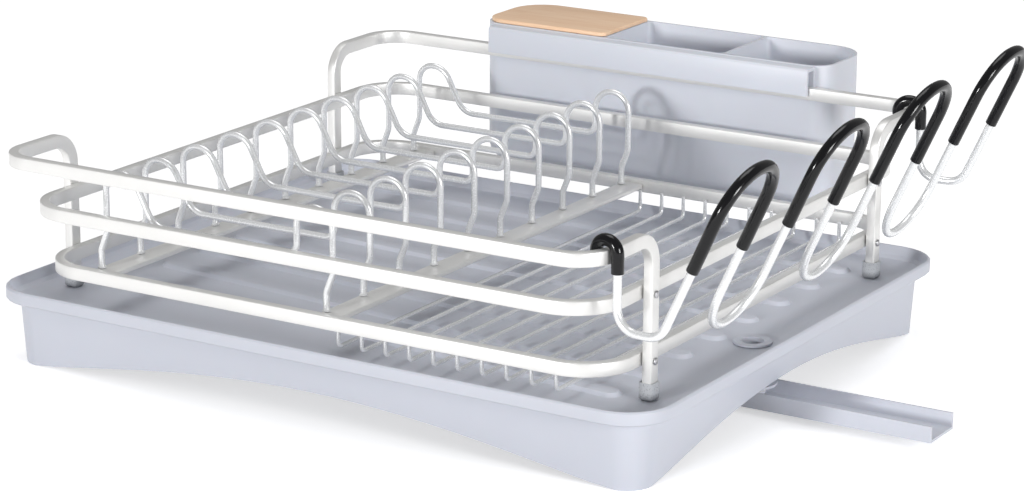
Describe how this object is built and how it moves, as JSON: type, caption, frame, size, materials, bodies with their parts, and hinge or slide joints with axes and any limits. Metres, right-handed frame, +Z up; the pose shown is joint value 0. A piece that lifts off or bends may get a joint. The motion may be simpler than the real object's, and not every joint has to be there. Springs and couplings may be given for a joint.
{
  "type": "dish drainer",
  "caption": "Dish drainer: a metal bar rack with plate loops, a hung cup holder and a utensil box with a wooden lid, standing in a drip tray with a swivel spout.",
  "frame": {"origin": "middle of the whole part's plan, at the level of the tray's feet", "axes": "+Z up, +X along the tray towards the drain spout and the cup holder, +Y towards the utensil holder"},
  "size_m": [0.4996, 0.4366, 0.1737],
  "materials": {
    "tray_plastic": "satin, moulded",
    "holder_plastic": "satin, moulded, slightly translucent",
    "satin_aluminium": "satin",
    "coated_wire": "satin silver",
    "black_sleeve": "glossy",
    "bamboo": "smooth, straight grain",
    "cap_plastic": "translucent grey",
    "rivet_steel": "plain"
  },
  "bodies": {
    "tray": {"drip_tray": "tray_plastic", "drain_nozzle": "tray_plastic", "spout_clip": "coated_wire"},
    "spout": {"drain_spout": "tray_plastic"},
    "rack": {"front_hoop": "satin_aluminium", "back_hoop": "satin_aluminium", "middle_ring": "satin_aluminium", "lower_ring": "satin_aluminium", "left_cross_bar": "satin_aluminium", "right_cross_bar": "satin_aluminium", "plate_wire_01": "coated_wire", "plate_wire_02": "coated_wire", "plate_wire_03": "coated_wire", "plate_wire_04": "coated_wire", "plate_wire_05": "coated_wire", "plate_wire_06": "coated_wire", "plate_wire_07": "coated_wire", "plate_wire_08": "coated_wire", "plate_wire_09": "coated_wire", "plate_wire_10": "coated_wire", "grid_wire_01": "coated_wire", "grid_wire_02": "coated_wire", "grid_wire_03": "coated_wire", "grid_wire_04": "coated_wire", "grid_wire_05": "coated_wire", "grid_wire_06": "coated_wire", "grid_wire_07": "coated_wire", "grid_wire_08": "coated_wire", "grid_wire_09": "coated_wire", "grid_wire_10": "coated_wire", "front_left_foot_cap": "cap_plastic", "front_right_foot_cap": "cap_plastic", "back_left_foot_cap": "cap_plastic", "back_right_foot_cap": "cap_plastic", "front_left_lower_rivet": "rivet_steel", "front_left_middle_rivet": "rivet_steel", "front_right_lower_rivet": "rivet_steel", "front_right_middle_rivet": "rivet_steel", "back_left_lower_rivet": "rivet_steel", "back_left_middle_rivet": "rivet_steel", "back_right_lower_rivet": "rivet_steel", "back_right_middle_rivet": "rivet_steel"},
    "cup_holder": {"cup_holder_wire": "coated_wire", "finger_sleeve_1": "black_sleeve", "finger_sleeve_2": "black_sleeve", "finger_sleeve_3": "black_sleeve", "finger_sleeve_4": "black_sleeve", "front_hook_sleeve": "black_sleeve", "back_hook_sleeve": "black_sleeve"},
    "utensil_box": {"utensil_holder": "holder_plastic"},
    "lid": {"bamboo_lid": "bamboo"}
  },
  "joints": [
    {"name": "spout_swivel", "type": "hinge", "parent": "tray", "child": "spout", "pos_m": [0.1398, -0.04565, 0.01], "axis": [0, 0, 1], "range_deg": [-50, 50]},
    {"name": "rack_lift", "type": "slide", "parent": "tray", "child": "rack", "axis": [0, 0, 1], "range_m": [0, 0.15]},
    {"name": "cup_holder_lift", "type": "slide", "parent": "rack", "child": "cup_holder", "axis": [0, 0, 1], "range_m": [0, 0.08]},
    {"name": "utensil_box_lift", "type": "slide", "parent": "rack", "child": "utensil_box", "axis": [0, 0, 1], "range_m": [0, 0.12]},
    {"name": "lid_lift", "type": "slide", "parent": "utensil_box", "child": "lid", "axis": [0, 0, 1], "range_m": [0, 0.06]}
  ]
}
